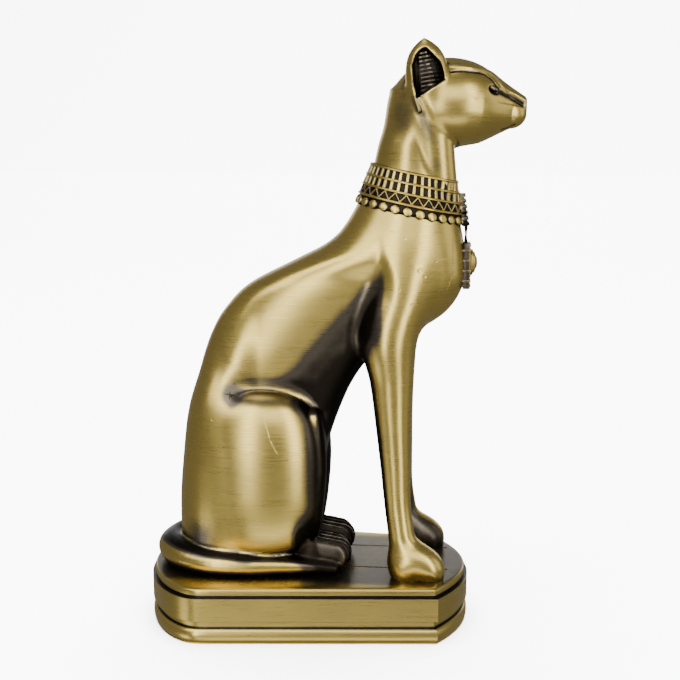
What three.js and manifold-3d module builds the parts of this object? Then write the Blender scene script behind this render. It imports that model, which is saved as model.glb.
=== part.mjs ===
// A seated cat of the ancient Egyptian kind, cast in metal, on a moulded plinth with bowed ends.
// Millimetres. The origin is the middle of the plinth's underside and +Z is up. The cat looks
// along +X, and its right side, where the tail lies, is on -Y.
import * as THREE from 'three';
import { mergeVertices } from 'three/addons/utils/BufferGeometryUtils.js';
import Module from 'manifold-3d';

// The cat's height. Its pose, proportions and carving are shares of it.
const catHeight = 135.5;

// The plinth: its height, the bare top left around the paws and the tail, and its bowed ends.
const plinthHeight = 14.5;
const frontLedge = 6.2;
const rearLedge = 1.6;
const pawLedge = 4.2;
const tailLedge = 8.2;
const frontBow = 7.6;
const rearBow = 16.5;

// The plinth's side from the bottom up: a moulding, a groove, a flat band, a groove, a moulding.
const bottomMoulding = 4.0;
const lowerGroove = 2.0;
const upperGroove = 0.5;
const topMoulding = 1.8;
const grooveDepth = 1.0;
const topSetback = 0.8;
const edgeRounding = 0.7;
const plankGrooveWidth = 0.7;
const plankGrooveDepth = 0.45;
const plankGrooveSides = [0.59, -0.34];

// The collar's rings and drops stand off the neck, and an ornament hangs from it on the chest.
const ringProud = 0.8;
const ringWidth = 0.9;
const ringCount = 4;
const dropThickness = 0.9;
const dropCount = 26;
const ornamentThickness = 1.4;
const linkThickness = 0.9;

// One share is a hundredth of the cat's height, and every form of the cat is given in shares.
const share = catHeight / 100;

// Joins two forms with a fillet of the given width between them.
function melt(a, b, width) {
  const overlap = Math.max(width - Math.abs(a - b), 0) / width;
  return Math.min(a, b) - overlap * overlap * width / 4;
}

// Goes smoothly from 0 to 1 while value goes from start to end.
function ease(start, end, value) {
  const t = THREE.MathUtils.clamp((value - start) / (end - start), 0, 1);
  return t * t * (3 - 2 * t);
}

// An egg round the point `at` with half lengths `radii`. A `boxiness` of 2 is a true ellipsoid.
function egg({ at, radii, boxiness = 2 }) {
  return (x, y, z) => {
    const u = (x - at[0]) / radii[0];
    const v = (y - at[1]) / radii[1];
    const w = (z - at[2]) / radii[2];
    const size = (Math.hypot(u, v) ** boxiness + Math.abs(w) ** boxiness) ** (1 / boxiness);
    const steepness = Math.hypot(u / radii[0], v / radii[1], w / radii[2]);
    return (size - 1) * Math.min(size / Math.max(steepness, Number.EPSILON), ...radii);
  };
}

// A tapering limb with round ends from one joint [x, y, z, radius] to the next. It is `breadth`
// times as wide along Y as its radii say.
function limb(start, end, breadth = 1) {
  const along = [end[0] - start[0], (end[1] - start[1]) / breadth, end[2] - start[2]];
  const lengthSquared = along[0] ** 2 + along[1] ** 2 + along[2] ** 2;
  return (x, y, z) => {
    const dx = x - start[0];
    const dy = (y - start[1]) / breadth;
    const dz = z - start[2];
    const place = (dx * along[0] + dy * along[1] + dz * along[2]) / lengthSquared;
    const t = THREE.MathUtils.clamp(place, 0, 1);
    const away = Math.hypot(dx - along[0] * t, dy - along[1] * t, dz - along[2] * t);
    return (away - start[3] - (end[3] - start[3]) * t) * Math.min(breadth, 1);
  };
}

// Reads a smooth curve from start to end that has the given slopes at its ends.
function smoothBetween(start, end, leaving, arriving, t) {
  return (2 * t ** 3 - 3 * t ** 2 + 1) * start + (t ** 3 - 2 * t ** 2 + t) * leaving
    + (3 * t ** 2 - 2 * t ** 3) * end + (t ** 3 - t ** 2) * arriving;
}

// Short limbs in a row along a smooth curve through the joints.
function chain(joints, breadth = 1) {
  const partCount = 4;
  const limbs = joints.slice(1).flatMap((end, i) => {
    const start = joints[i];
    const before = joints[Math.max(i - 1, 0)];
    const after = joints[Math.min(i + 2, joints.length - 1)];
    const places = Array.from({ length: partCount + 1 }, (_, part) => start.map((value, n) => (
      smoothBetween(value, end[n], (end[n] - before[n]) / 2, (after[n] - value) / 2,
        part / partCount))));
    return places.slice(1).map((place, part) => limb(places[part], place, breadth));
  });
  return (x, y, z) => Math.min(...limbs.map((one) => one(x, y, z)));
}

// The trunk and neck at each height: x of the back and of the chest or belly, and the half width.
const trunkStations = [
  { z: -4, back: -25.4, front: 0.0, half: 9.6 },
  { z: 8, back: -25.6, front: 0.4, half: 9.4 },
  { z: 16, back: -25.1, front: 1.9, half: 9.4 },
  { z: 24, back: -23.9, front: 3.3, half: 9.4 },
  { z: 32, back: -22.8, front: 6.0, half: 9.0 },
  { z: 38, back: -21.4, front: 9.0, half: 8.6 },
  { z: 42, back: -20.5, front: 12.6, half: 8.4 },
  { z: 46, back: -19.0, front: 19.6, half: 8.4 },
  { z: 50, back: -16.6, front: 25.6, half: 8.6 },
  { z: 55, back: -12.3, front: 28.7, half: 8.9 },
  { z: 60, back: -2.6, front: 29.0, half: 8.7 },
  { z: 65, back: 5.7, front: 28.4, half: 8.2 },
  { z: 70, back: 8.7, front: 27.4, half: 7.4 },
  { z: 76, back: 11.4, front: 26.1, half: 6.1 },
  { z: 82, back: 12.9, front: 26.2, half: 6.0 },
  { z: 90, back: 15.8, front: 25.5, half: 5.6 },
];

// Reads a column of the stations at height z, from a smooth curve through them.
function trunkAt(column, z) {
  const last = trunkStations.length - 1;
  const above = trunkStations.findIndex((station) => station.z > z);
  const i = above < 0 ? last - 1 : Math.max(above - 1, 0);
  const [low, high] = [trunkStations[i], trunkStations[i + 1]];
  const before = trunkStations[Math.max(i - 1, 0)];
  const after = trunkStations[Math.min(i + 2, last)];
  const span = high.z - low.z;
  const t = THREE.MathUtils.clamp((z - low.z) / span, 0, 1);
  const leaving = (high[column] - before[column]) / (high.z - before.z) * span;
  const arriving = (after[column] - low[column]) / (after.z - low.z) * span;
  return smoothBetween(low[column], high[column], leaving, arriving, t);
}

function trunk(x, side, z) {
  const back = trunkAt('back', z);
  const reach = (trunkAt('front', z) - back) / 2;
  const half = trunkAt('half', z);
  const fullness = 2.3 - 0.3 * ease(58, 67, z);
  const napeTop = 90;
  const across = Math.abs(x - back - reach) / reach;
  const size = (across ** fullness + (side / half) ** fullness) ** (1 / fullness);
  return Math.max((size - 1) * Math.min(reach, half), z - napeTop);
}

// The flank falls away behind the shoulder in one flat slope down to the belly's edge. It fades
// out at the haunch below, at the rump behind, and at the shoulder in front and above.
function flank(x, side, z) {
  const fill = 6 * (1 - ease(20, 31, z)) + 3 * (1 - ease(-19, -9, x))
    + 6 * ease(13, 18, x) + 3 * ease(56, 63, z);
  return side - Math.max(4.6, 0.159 * z - 0.11 * x) - fill;
}

const thigh = egg({ at: [-9.8, 5.0, 18.5], radii: [12.4, 6.8, 17.0], boxiness: 3 });
const shin = chain([[1.0, 5.0, 30, 1.5], [1.6, 5.0, 20, 1.7], [0.4, 5.0, 8, 1.6]]);
const foreleg = chain([
  [18.4, 1.8, 68, 4.5], [18.0, 3.4, 61, 5.1], [17.2, 4.7, 54, 5.3], [15.2, 5.6, 46, 5.3],
  [15.7, 6.2, 38, 4.1], [16.1, 6.6, 30, 3.4],
  [16.6, 7.0, 22, 2.9], [17.1, 7.5, 14, 2.5], [17.9, 8.0, 8, 2.5], [18.8, 8.4, 1, 2.6],
], 0.94);
const frontPaw = chain([
  [18.6, 8.4, 2.8, 2.8], [20.8, 8.5, 3.6, 3.1], [23.1, 8.7, 2.3, 2.9], [24.0, 8.7, 0.6, 2.1],
], 1.0);
const tail = chain([
  [-20, 7.5, 3.2, 2.6], [-25, 5.4, 2.9, 2.8], [-27.3, 1.2, 2.8, 2.8], [-27.3, -3.0, 2.7, 2.9],
  [-24.2, -7.2, 2.5, 2.8], [-19, -9.6, 2.2, 2.5], [-12, -9.9, 1.9, 2.2], [-5, -9.1, 1.7, 1.8],
  [1, -8.4, 1.4, 1.4], [5, -8.4, 1.1, 1.0],
]);
const hindToes = [2.0, 3.8, 5.6, 7.4].map((y, i) => {
  const middleToe = i === 1 || i === 2;
  return limb([1.0, y, 3.4, 3.1], [middleToe ? 5.4 : 4.8, y, 3.0, 2.8], 0.34);
});

const cranium = egg({ at: [25.4, 0, 88.6], radii: [10.5, 7.8, 8.1] });
const muzzle = limb([31.5, 0, 87.2, 4.9], [36.9, 0, 86.8, 2.8], 0.95);
const noseRidge = limb([32.4, 0, 91.7, 2.3], [38.2, 0, 88.5, 1.7], 0.85);

// The whole cat but for its ears and collar, as a distance that is below 0 inside the metal. It
// goes a little below the soles, where it is cut off flat.
const soleSpare = 1.2;
function catForm(x, y, z) {
  const side = Math.abs(y);
  const rearMelt = 0.9 + 3.4 * (1 - ease(-21, -10, x));
  let form = trunk(x, side, z);
  form = -melt(-form, -flank(x, side, z), 4.5);
  form = melt(form, foreleg(x, side, z), 2.2);
  form = melt(form, shin(x, side, z), 0.8);
  form = melt(form, thigh(x, side, z), rearMelt);
  form = melt(form, frontPaw(x, side, z), 2.6);
  for (const toe of hindToes) form = melt(form, toe(x, side, z), 0.25);
  form = melt(form, tail(x, y, z), 0.9);
  form = melt(form, cranium(x, side, z), 2);
  form = melt(form, muzzle(x, side, z), 2.5);
  form = melt(form, noseRidge(x, side, z), 0.8);
  return Math.max(form, -soleSpare - z);
}

// Grid levels from the first bound to the last, with a step of its own between each two bounds.
function gridLevels(bounds, steps) {
  const levels = [bounds[0]];
  steps.forEach((step, i) => {
    const span = bounds[i + 1] - bounds[i];
    const count = Math.round(span / step);
    for (let n = 1; n <= count; n += 1) levels.push(bounds[i] + span * n / count);
  });
  return levels;
}

// Closer levels through the legs, the paws and the head.
const grid = [
  gridLevels([-33, -20, 8, 27.5, 42], [1.9, 3.9, 2.1, 1.5]),
  gridLevels([-15.5, -4, 4, 15.5], [1.64, 2, 1.64]),
  gridLevels([-3, 7.5, 76, 99], [1.4, 3.3, 1.6]),
];

// The point of one grid cell, or nothing where the surface doesn't pass through the cell.
function cellPoint(form, levels, values, at, cell) {
  const sum = [0, 0, 0];
  let crossings = 0;
  for (let axis = 0; axis < 3; axis += 1) {
    for (let edge = 0; edge < 4; edge += 1) {
      const start = [...cell];
      start[(axis + 1) % 3] += edge & 1;
      start[(axis + 2) % 3] += edge >> 1;
      const end = [...start];
      end[axis] += 1;
      const low = values[at(...start)];
      const high = values[at(...end)];
      if (low < 0 === high < 0) continue;
      const t = low / (low - high);
      for (let i = 0; i < 3; i += 1) {
        sum[i] += levels[i][start[i]] * (1 - t) + levels[i][end[i]] * t;
      }
      crossings += 1;
    }
  }
  return crossings === 0 ? null : settle(form, sum.map((value) => value / crossings));
}

// Moves a point onto the surface in a few short steps along the slope of the form.
function settle(form, [startX, startY, startZ]) {
  const probe = 0.05;
  const longestStep = 0.5;
  const stepCount = 3;
  let [x, y, z] = [startX, startY, startZ];
  for (let n = 0; n < stepCount; n += 1) {
    const value = form(x, y, z);
    const slope = [
      (form(x + probe, y, z) - value) / probe,
      (form(x, y + probe, z) - value) / probe,
      (form(x, y, z + probe) - value) / probe,
    ];
    const steepness = Math.max(Math.hypot(...slope), probe);
    const move = THREE.MathUtils.clamp(value / steepness, -longestStep, longestStep) / steepness;
    x -= slope[0] * move;
    y -= slope[1] * move;
    z -= slope[2] * move;
  }
  return [x, y, z];
}

// Cuts a square of four points along its shorter diagonal.
function splitSquare(points, [a, b, c, d]) {
  const gap = (m, n) => Math.hypot(...[0, 1, 2].map((i) => points[m * 3 + i] - points[n * 3 + i]));
  return gap(a, c) < gap(b, d) ? [a, b, c, a, c, d] : [b, c, d, b, d, a];
}

// Makes a geometry of points and triangles.
function toGeometry(points, triangles) {
  const geometry = new THREE.BufferGeometry();
  geometry.setAttribute('position', new THREE.Float32BufferAttribute(points, 3));
  geometry.setIndex([...triangles]);
  return geometry;
}

// Skins a form on the grid: one point in each cell that the surface passes through, and one
// square, cut in two triangles, across each grid edge that pierces the surface.
function skin(form, levels) {
  const [nx, ny, nz] = levels.map((level) => level.length);
  const at = (i, j, k) => (k * ny + j) * nx + i;
  const eachNode = (first, trim, visit) => {
    for (let k = first; k < nz - trim; k += 1) {
      for (let j = first; j < ny - trim; j += 1) {
        for (let i = first; i < nx - trim; i += 1) visit(i, j, k);
      }
    }
  };
  const values = new Float64Array(nx * ny * nz);
  eachNode(0, 0, (i, j, k) => {
    values[at(i, j, k)] = form(levels[0][i], levels[1][j], levels[2][k]);
  });
  const points = [];
  const pointOfCell = new Int32Array(values.length);
  eachNode(0, 1, (i, j, k) => {
    const point = cellPoint(form, levels, values, at, [i, j, k]);
    if (!point) return;
    pointOfCell[at(i, j, k)] = points.length / 3;
    points.push(...point);
  });
  const triangles = [];
  const stride = [at(1, 0, 0), at(0, 1, 0), at(0, 0, 1)];
  eachNode(1, 1, (i, j, k) => {
    const here = at(i, j, k);
    const inside = values[here] < 0;
    stride.forEach((along, axis) => {
      if (values[here + along] < 0 === inside) return;
      const b = stride[(axis + 1) % 3];
      const c = stride[(axis + 2) % 3];
      const loop = [here - b - c, here - c, here, here - b].map((cell) => pointOfCell[cell]);
      if (!inside) loop.reverse();
      triangles.push(...splitSquare(points, loop));
    });
  });
  return toGeometry(points, triangles);
}

const wasm = await Module();
wasm.setup();

// Makes a solid of a closed geometry, for joining and cutting.
function toSolid(geometry) {
  const bare = geometry.clone();
  bare.deleteAttribute('normal');
  bare.deleteAttribute('uv');
  const merged = mergeVertices(bare, 1e-5);
  const corners = merged.getIndex().array;
  const triangles = [];
  for (let i = 0; i < corners.length; i += 3) {
    const [a, b, c] = corners.subarray(i, i + 3);
    if (a !== b && b !== c && c !== a) triangles.push(a, b, c);
  }
  return new wasm.Manifold(new wasm.Mesh({
    numProp: 3,
    vertProperties: new Float32Array(merged.getAttribute('position').array),
    triVerts: new Uint32Array(triangles),
  }));
}

// A mesh of a finished solid, with flat faces.
function toMesh(name, solid, colour, roughness) {
  const { vertProperties, triVerts } = solid.getMesh();
  const geometry = toGeometry(vertProperties, triVerts);
  geometry.computeVertexNormals();
  const material = new THREE.MeshStandardMaterial({
    color: colour, roughness, metalness: 1, flatShading: true,
  });
  const mesh = new THREE.Mesh(geometry, material);
  mesh.name = name;
  return mesh;
}

// A pointed horn that stands on the origin, with the given half length, half width and height.
function horn(halfLength, halfWidth, height) {
  const levelCount = 5;
  const sideCount = 12;
  const taper = 6;
  const profile = [new THREE.Vector2(0, 0)];
  for (let i = 0; i < levelCount; i += 1) {
    const rise = Math.sin(i / levelCount * Math.PI / 2);
    profile.push(new THREE.Vector2(1 - rise ** taper, rise));
  }
  profile.push(new THREE.Vector2(0, 1));
  return new THREE.LatheGeometry(profile, sideCount)
    .rotateX(Math.PI / 2)
    .scale(halfLength, halfWidth, height);
}

// The outline of an ear's opening as [forward, up] from the ear's foot.
const earOpening = [
  [-0.3, 11.9], [-1.6, 10.4], [-2.5, 8.4], [-2.5, 5.5], [-2.1, 2.8], [3.7, 5.8], [3.4, 7.1],
  [2.2, 9.0],
];

// An ear as a pointed horn, and the room that is cut from it to the side, on the cat's left (1)
// or right (-1).
function ear(side) {
  const foot = { x: 22.1, y: 4.4, z: 87.2 };
  const height = 100 - foot.z;
  const rim = 0.8;
  const leanOut = 0.16;
  const leanBack = 0.06;
  const openingShift = 1.9;
  const shell = horn(3.9, 2.8, height);
  const hollow = horn(3.9 - rim, 2.8, height - rim).translate(0, openingShift * side, -rim / 2);
  const outline = new THREE.Shape(earOpening.map(([forward, up]) => (
    new THREE.Vector2(forward, up))));
  const opening = new THREE.ExtrudeGeometry(outline, { depth: height, bevelEnabled: false })
    .translate(0, 0, -height / 2)
    .rotateX(Math.PI / 2);
  const [horned, hollowed, opened] = [shell, hollow, opening].map((geometry) => toSolid(
    geometry.rotateX(-leanOut * side).rotateY(-leanBack).translate(foot.x, foot.y * side, foot.z)));
  return { body: horned, room: hollowed.intersect(opened) };
}

// The collar's top and bottom edges on the neck, behind and in front.
const collarTop = { back: [11.1, 77.7], front: [27.1, 74.4] };
const collarBottom = { back: [8.2, 70.6], front: [28.5, 67.1] };
const neckBreadth = 0.83;

// The collar in a frame of its own: a round one with its bottom edge at height 0 and its top edge
// at height 1. This matrix lays it round the neck, sloping down to the front.
function middleOf({ back, front }) {
  return new THREE.Vector3((back[0] + front[0]) / 2, 0, (back[1] + front[1]) / 2);
}
const slope = new THREE.Vector3(
  collarTop.front[0] - collarTop.back[0], 0, collarTop.front[1] - collarTop.back[1]).normalize();
const rise = middleOf(collarTop).sub(middleOf(collarBottom));
const roundNeck = new THREE.Matrix4()
  .makeBasis(slope, new THREE.Vector3(0, neckBreadth, 0), rise)
  .setPosition(middleOf(collarBottom));
const halfLengthOf = ({ back, front }) => Math.hypot(front[0] - back[0], front[1] - back[1]) / 2;
const collarRadius = (height) => THREE.MathUtils.lerp(
  halfLengthOf(collarBottom), halfLengthOf(collarTop), height) - ringProud / share;

// The rings as one turned piece, which fills the neck behind them.
function rings() {
  const spacing = 0.257;
  const sideCount = 28;
  const halfRing = ringWidth / share / rise.length() / 2;
  const lowest = 1 - spacing * (ringCount - 1);
  const profile = [new THREE.Vector2(0, lowest - halfRing)];
  for (let i = 0; i < ringCount; i += 1) {
    const height = lowest + spacing * i;
    const ground = collarRadius(height);
    const proud = ground + ringProud / share;
    profile.push(
      new THREE.Vector2(ground, height - halfRing),
      new THREE.Vector2(proud, height),
      new THREE.Vector2(ground, height + halfRing),
    );
  }
  profile.push(new THREE.Vector2(0, 1 + halfRing));
  return toSolid(new THREE.LatheGeometry(profile, sideCount)
    .rotateX(Math.PI / 2)
    .applyMatrix4(roundNeck));
}

// A row of round drops hanging from the lowest ring.
function drops() {
  const dropRadius = 0.92;
  const height = 0.06;
  const sunk = 1.8;
  const thickness = dropThickness / share + sunk;
  let row = null;
  for (let i = 0; i < dropCount; i += 1) {
    const drop = toSolid(new THREE.CylinderGeometry(dropRadius, dropRadius, thickness, 6)
      .rotateZ(-Math.PI / 2)
      .scale(1, 1, 1 / rise.length())
      .translate(collarRadius(height) - sunk + thickness / 2, 0, height)
      .rotateZ((i + 0.5) / dropCount * Math.PI * 2)
      .applyMatrix4(roundNeck));
    row = row ? row.add(drop) : drop;
  }
  return row;
}

// The ornament: a clasp plate on the collar's front, a link, and a plaque with a domed boss that
// lies on the chest.
function ornament() {
  const thickness = ornamentThickness / share;
  const claspLean = -0.2;
  const clasp = toSolid(new THREE.BoxGeometry(thickness * 1.3, 3.6, 6.3)
    .rotateY(claspLean)
    .translate(28.5, 0, 69.2));
  const plaque = toSolid(new THREE.BoxGeometry(thickness, 4.6, 8.6).translate(29.0, 0, 58.8));
  const boss = toSolid(new THREE.SphereGeometry(1, 12, 8).scale(1.9, 1.9, 2.9)
    .translate(29.5, 0, 59.6));
  const link = toSolid(new THREE.CylinderGeometry(1, 1, 4.4, 6).rotateX(Math.PI / 2)
    .scale(linkThickness / share / 2, linkThickness / share / 2, 1)
    .translate(29.0, 0, 64.6));
  return clasp.add(link).add(plaque).add(boss);
}

// An eye: a small almond that stands out of the socket beside the nose.
function eye(side) {
  const turnToSide = -0.55;
  return toSolid(new THREE.SphereGeometry(1, 10, 6)
    .rotateX(Math.PI / 2)
    .scale(1.35, 0.7, 0.65)
    .rotateY(0.35)
    .rotateZ(turnToSide * side)
    .translate(33.3, 4.1 * side, 90.8));
}

// The cat in one piece, from its shares to millimetres and standing on the plinth, where a slab
// cuts its soles off flat.
function makeCat() {
  let figure = toSolid(skin(catForm, grid));
  for (const side of [1, -1]) {
    const { body, room } = ear(side);
    figure = figure.add(body).subtract(room).add(eye(side));
  }
  figure = figure.add(rings()).add(drops()).add(ornament());
  const { vertProperties, triVerts } = figure.getMesh();
  const placed = toSolid(toGeometry(vertProperties, triVerts)
    .scale(share, share, share)
    .translate(0, 0, plinthHeight));
  const slab = new THREE.BoxGeometry(catHeight * 2, catHeight * 2, plinthHeight)
    .translate(0, 0, plinthHeight / 2);
  return placed.subtract(toSolid(slab));
}

// How far the cat's paws and tail reach on the plinth: to the rear, to the front, and to the side
// at the front paws and at the tail.
function footprint(cat) {
  const lowPart = 6 * share;
  const points = cat.getMesh().vertProperties;
  const reach = { rear: 0, front: 0, paw: 0, tail: 0 };
  for (let i = 0; i < points.length; i += 3) {
    const [x, y, z] = points.subarray(i, i + 3);
    if (z > plinthHeight + lowPart) continue;
    reach.rear = Math.max(reach.rear, -x);
    reach.front = Math.max(reach.front, x);
    if (x > reach.front / 2) reach.paw = Math.max(reach.paw, y);
    if (x < 0) reach.tail = Math.max(reach.tail, -y);
  }
  return reach;
}

// The plinth's outline seen from above, drawn in by `inset`: straight sides that open to the
// rear, a shallow bow in front with a crisp corner at each end of it, and a round rear.
function plan(reach, inset) {
  const front = reach.front + frontLedge - inset;
  const rear = -reach.rear - rearLedge + inset;
  const corner = front - frontBow;
  const frontHalf = reach.paw + pawLedge - inset;
  const rearHalf = reach.tail + tailLedge - inset;
  const turn = rear + rearBow;
  const outline = new THREE.Shape();
  outline.moveTo(turn, -rearHalf);
  outline.lineTo(corner, -frontHalf);
  outline.quadraticCurveTo(front + frontBow, 0, corner, frontHalf);
  outline.lineTo(turn, rearHalf);
  const shoulder = (rearHalf - frontHalf) / (corner - turn) * rearBow * 0.45;
  outline.bezierCurveTo(
    turn - rearBow * 0.45, rearHalf + shoulder, rear, rearHalf * 0.55, rear, 0);
  outline.bezierCurveTo(
    rear, -rearHalf * 0.55, turn - rearBow * 0.45, -rearHalf - shoulder, turn, -rearHalf);
  const curveSteps = 8;
  return outline.getPoints(curveSteps).slice(0, -1);
}

// The plinth's side as [height, inset] steps from the underside to the top.
function plinthSteps() {
  const bandTop = plinthHeight - topMoulding - upperGroove;
  const grooveTop = bottomMoulding + lowerGroove;
  const topEdge = plinthHeight - edgeRounding;
  return [
    [0, edgeRounding],
    [edgeRounding, 0],
    [bottomMoulding - edgeRounding, 0],
    [bottomMoulding, edgeRounding],
    [bottomMoulding, grooveDepth],
    [grooveTop, grooveDepth],
    [grooveTop, 0],
    [bandTop, 0],
    [bandTop, grooveDepth],
    [bandTop + upperGroove, grooveDepth],
    [bandTop + upperGroove, topSetback],
    [topEdge, topSetback],
    [plinthHeight, topSetback + edgeRounding],
  ];
}

// The plinth: its outline at each step, one above the other, joined and closed.
function makePlinth(reach) {
  const steps = plinthSteps();
  const outlines = steps.map(([, inset]) => plan(reach, inset));
  const count = outlines[0].length;
  const points = outlines.flatMap((outline, level) => outline.flatMap(
    (corner) => [corner.x, corner.y, steps[level][0]]));
  const triangles = [];
  for (let level = 0; level < steps.length - 1; level += 1) {
    for (let i = 0; i < count; i += 1) {
      const low = level * count;
      const next = (i + 1) % count;
      triangles.push(low + i, low + next, low + count + next);
      triangles.push(low + i, low + count + next, low + count + i);
    }
  }
  const topStart = (steps.length - 1) * count;
  THREE.ShapeUtils.triangulateShape(outlines[0], []).forEach(([a, b, c]) => {
    triangles.push(c, b, a);
  });
  THREE.ShapeUtils.triangulateShape(outlines.at(-1), []).forEach(([a, b, c]) => {
    triangles.push(topStart + a, topStart + b, topStart + c);
  });
  let block = toSolid(toGeometry(points, triangles));
  for (const y of plankGrooveSides) {
    const groove = new THREE.BoxGeometry(
      reach.rear + reach.front, plankGrooveWidth, 2 * plankGrooveDepth);
    const middle = (reach.front - reach.rear) / 2;
    block = block.subtract(toSolid(groove.translate(middle, y * reach.tail, plinthHeight)));
  }
  return block;
}

const cat = makeCat();
const plinth = makePlinth(footprint(cat));
const figurine = new THREE.Group();
figurine.add(toMesh('cat', cat, 0xa38a4c, 0.34));
figurine.add(toMesh('plinth', plinth, 0xa38a4c, 0.36));

export default figurine;
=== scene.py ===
# %% [markdown]
# # A seated cat in antique brass
# The real object is a small figurine, cast in metal, plated with brass and stained dark in its
# hollows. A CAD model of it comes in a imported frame, fixes the sizes and stays untouched. Finer
# pieces stand in for it here: a smooth body and head, a collar with its bars and beads, a small
# ornament and a plinth with rounded mouldings. Then come the metal, the light and the camera.

import math

import bmesh
import bpy
import numpy as np
from mathutils import Matrix, Vector


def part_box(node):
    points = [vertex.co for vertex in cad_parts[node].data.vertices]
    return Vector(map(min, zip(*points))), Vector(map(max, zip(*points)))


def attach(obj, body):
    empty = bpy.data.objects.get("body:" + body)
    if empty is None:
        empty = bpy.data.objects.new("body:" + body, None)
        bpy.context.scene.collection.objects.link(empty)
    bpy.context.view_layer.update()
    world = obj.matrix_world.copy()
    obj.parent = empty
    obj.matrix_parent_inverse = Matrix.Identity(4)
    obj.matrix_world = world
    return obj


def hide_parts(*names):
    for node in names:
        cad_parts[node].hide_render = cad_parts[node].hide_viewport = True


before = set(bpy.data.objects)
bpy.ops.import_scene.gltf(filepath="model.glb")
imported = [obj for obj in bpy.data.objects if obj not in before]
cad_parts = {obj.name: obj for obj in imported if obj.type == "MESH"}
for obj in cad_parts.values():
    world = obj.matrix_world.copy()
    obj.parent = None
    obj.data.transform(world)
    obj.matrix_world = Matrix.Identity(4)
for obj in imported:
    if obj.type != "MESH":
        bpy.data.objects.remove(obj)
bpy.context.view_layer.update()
cat_low, cat_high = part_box("cat")
plinth_low, plinth_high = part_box("plinth")
print("the cat alone from", tuple(cat_low), "to", tuple(cat_high))

# %% [markdown]
# ## Units
# Blender measures in metres. The cat's forms are given in shares instead: one share is a
# hundredth of the cat's height, so every number can be compared with a photo of any size. What a
# ruler would measure on the real thing, such as a ring's width, is given in millimetres.

# %% Shares and millimetres
CAT_HEIGHT = 0.1355
SHARE = CAT_HEIGHT / 100
MM = 0.001
PLINTH_TOP = plinth_high.z


def to_metres(points):
    """Points in shares above the plinth's top, placed in the scene."""
    return np.asarray(points) * SHARE + np.array([0, 0, PLINTH_TOP])


print("one share is", round(SHARE / MM, 3), "mm")

# %% [markdown]
# ## Forms as distances
# A cast animal is one skin with soft creases. It could be sculpted by hand, or drawn as a coarse
# cage under a subdivision modifier. Here it is a form: a function that gives, for any point, the
# distance to the surface, below zero inside. That was chosen because every limb keeps its exact
# size and every crease its own softness. Two forms are joined by taking the smaller distance, and
# `melt` rounds the crease between them like wax.

# %% Join, cut and fade
def melt(a, b, width):
    overlap = np.maximum(width - np.abs(a - b), 0) / width
    return np.minimum(a, b) - overlap * overlap * width / 4


def carve(form, tool, width):
    """The form with the tool's shape taken away, with a rounded edge of that width."""
    return -melt(-form, tool, width)


def ease(start, end, value):
    """0 up to the start, 1 from the end on, and a soft rise between them."""
    t = np.clip((value - start) / (end - start), 0, 1)
    return t * t * (3 - 2 * t)


print("a crease one share from both forms lies", melt(1.0, 1.0, 2.0), "from the melted form")

# %% [markdown]
# Two shapes are enough to begin with: an egg for full masses such as skull and haunch, and a limb
# with round ends for everything long.

# %% Egg and limb
def egg(x, y, z, at, radii, boxiness=2):
    u, v, w = (x - at[0]) / radii[0], (y - at[1]) / radii[1], (z - at[2]) / radii[2]
    size = (np.hypot(u, v) ** boxiness + np.abs(w) ** boxiness) ** (1 / boxiness)
    steepness = np.sqrt((u / radii[0]) ** 2 + (v / radii[1]) ** 2 + (w / radii[2]) ** 2)
    return (size - 1) * np.minimum(size / np.maximum(steepness, 1e-9), min(radii))


def limb(x, y, z, start, end, breadth=1):
    """A tapering limb with round ends between two joints (x, y, z, radius)."""
    ax, ay, az = end[0] - start[0], (end[1] - start[1]) / breadth, end[2] - start[2]
    dx, dy, dz = x - start[0], (y - start[1]) / breadth, z - start[2]
    t = np.clip((dx * ax + dy * ay + dz * az) / (ax * ax + ay * ay + az * az), 0, 1)
    away = np.sqrt((dx - ax * t) ** 2 + (dy - ay * t) ** 2 + (dz - az * t) ** 2)
    return (away - start[3] - (end[3] - start[3]) * t) * min(breadth, 1)


print("three shares over the middle of an egg of radius two:", egg(0, 0, 3, (0, 0, 0), (2, 2, 2)))

# %% [markdown]
# A leg or a tail bends. It could be a bezier curve with a bevel, but that can't melt into the
# body. So it is a row of short limbs along a smooth curve through a few joints.

# %% Rows of limbs
def smooth_between(start, end, leaving, arriving, t):
    """A smooth curve from start to end that has the given slopes at its ends."""
    return ((2 * t**3 - 3 * t**2 + 1) * start + (t**3 - 2 * t**2 + t) * leaving
            + (3 * t**2 - 2 * t**3) * end + (t**3 - t**2) * arriving)


def smooth_row(joints, parts=5):
    """The joints with more of them in between, along a smooth curve."""
    joints = np.array(joints, float)
    row = []
    for i in range(len(joints) - 1):
        start, end = joints[i], joints[i + 1]
        before, after = joints[max(i - 1, 0)], joints[min(i + 2, len(joints) - 1)]
        row += [smooth_between(start, end, (end - before) / 2, (after - start) / 2, part / parts)
                for part in range(parts)]
    return row + [joints[-1]]


def chain(x, y, z, row, breadth=1, margin=3.0):
    """Short limbs in a row. Points further off than the margin only hear that they are far."""
    row = np.array(row)
    low, high = (row[:, :3] - row[:, 3:]).min(0), (row[:, :3] + row[:, 3:]).max(0)
    x, y, z = np.broadcast_arrays(x, y, z)
    near = ((x > low[0] - margin) & (x < high[0] + margin)
            & (y > low[1] - margin) & (y < high[1] + margin)
            & (z > low[2] - margin) & (z < high[2] + margin))
    form = np.full(x.shape, margin)
    nx, ny, nz = x[near], y[near], z[near]
    if nx.size:
        form[near] = np.minimum.reduce([limb(nx, ny, nz, start, end, breadth)
                                        for start, end in zip(row, row[1:])])
    return form


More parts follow.
